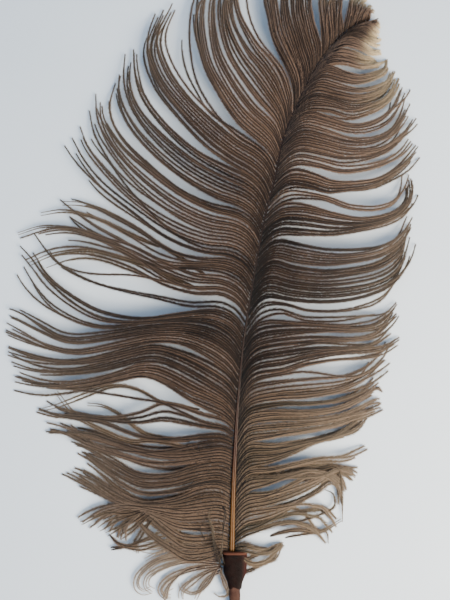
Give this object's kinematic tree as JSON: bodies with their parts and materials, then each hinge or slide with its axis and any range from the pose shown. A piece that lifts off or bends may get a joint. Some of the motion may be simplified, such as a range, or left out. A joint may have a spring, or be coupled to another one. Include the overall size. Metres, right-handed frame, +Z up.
{
  "type": "ostrich feather",
  "caption": "Natural brown ostrich wing plume with long loose barbs, its quill bound in a dark leather sleeve with a short leather grip, lying flat.",
  "frame": {"origin": "middle of the footprint of the lying plume, on the surface it lies on", "axes": "+Z up from the surface, +Y along the plume from the leather grip towards the crown, +X to the right seen from above with the crown away from the viewer"},
  "size_m": [0.2754, 0.4444, 0.0152],
  "materials": {
    "shaft_horn": "smooth satin horn, golden tan at the base to dark brown at the crown, with a darker groove",
    "feather_barbs": "soft taupe-brown barbs with fuzzy edges and paler ends",
    "feather_down": "pale loose down",
    "sleeve_leather": "dark brown satin leather with a lighter copper-brown rim",
    "grip_leather": "paler purplish-brown leather, matt"
  },
  "bodies": {
    "root": {"shaft": "shaft_horn", "left_vane": "feather_barbs", "right_vane": "feather_barbs", "base_down": "feather_down", "leather_sleeve": "sleeve_leather", "leather_grip": "grip_leather"}
  },
  "joints": []
}
